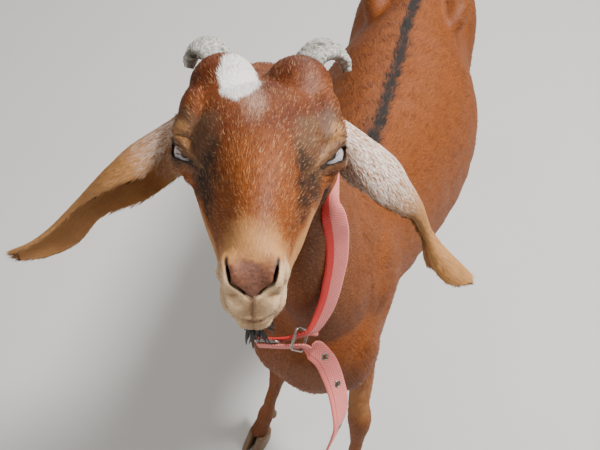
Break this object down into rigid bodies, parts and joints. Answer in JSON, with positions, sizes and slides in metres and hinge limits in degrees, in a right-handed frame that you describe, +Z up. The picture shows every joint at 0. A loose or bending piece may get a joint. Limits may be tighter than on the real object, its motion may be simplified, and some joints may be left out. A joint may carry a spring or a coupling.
{
  "type": "goat",
  "caption": "Standing doe goat with long hanging ears, a roman nose, short horn stubs and a webbing collar, head raised.",
  "frame": {"origin": "middle of the bounding box at the floor under the hooves", "axes": "+Z up, the goat faces -Y, its left side is +X"},
  "size_m": [0.4184, 1.117, 1.0397],
  "materials": {
    "coat_bay": "short smooth bay coat",
    "coat_face": "very short darker coat",
    "coat_ear": "fine pale tan coat, soft",
    "horn_grey": "rough grey horn",
    "hoof_brown": "worn brown horn",
    "eye_pale": "wet, clear and shining",
    "hair_dark": "long dark hair in locks",
    "tail_hair": "long brown-black hair in locks",
    "webbing_pink": "woven webbing, faded coral pink",
    "plated_steel": "worn bright plating"
  },
  "bodies": {
    "root": {"beard": "hair_dark", "buckle_frame": "plated_steel", "buckle_pin": "plated_steel", "collar_end": "webbing_pink", "collar_strap": "webbing_pink", "dewclaw_front_left_inner": "hoof_brown", "dewclaw_front_left_outer": "hoof_brown", "dewclaw_front_right_inner": "hoof_brown", "dewclaw_front_right_outer": "hoof_brown", "dewclaw_hind_left_inner": "hoof_brown", "dewclaw_hind_left_outer": "hoof_brown", "dewclaw_hind_right_inner": "hoof_brown", "dewclaw_hind_right_outer": "hoof_brown", "ear_left": "coat_ear", "ear_right": "coat_ear", "eye_left": "eye_pale", "eye_right": "eye_pale", "eyelet_1": "plated_steel", "eyelet_2": "plated_steel", "eyelet_3": "plated_steel", "head": "coat_face", "hoof_front_left_inner": "hoof_brown", "hoof_front_left_outer": "hoof_brown", "hoof_front_right_inner": "hoof_brown", "hoof_front_right_outer": "hoof_brown", "hoof_hind_left_inner": "hoof_brown", "hoof_hind_left_outer": "hoof_brown", "hoof_hind_right_inner": "hoof_brown", "hoof_hind_right_outer": "hoof_brown", "horn_left": "horn_grey", "horn_right": "horn_grey", "keeper_ring": "plated_steel", "leg_front_left": "coat_bay", "leg_front_right": "coat_bay", "leg_hind_left": "coat_bay", "leg_hind_right": "coat_bay", "neck": "coat_bay", "tail": "tail_hair", "torso": "coat_bay"}
  },
  "joints": []
}
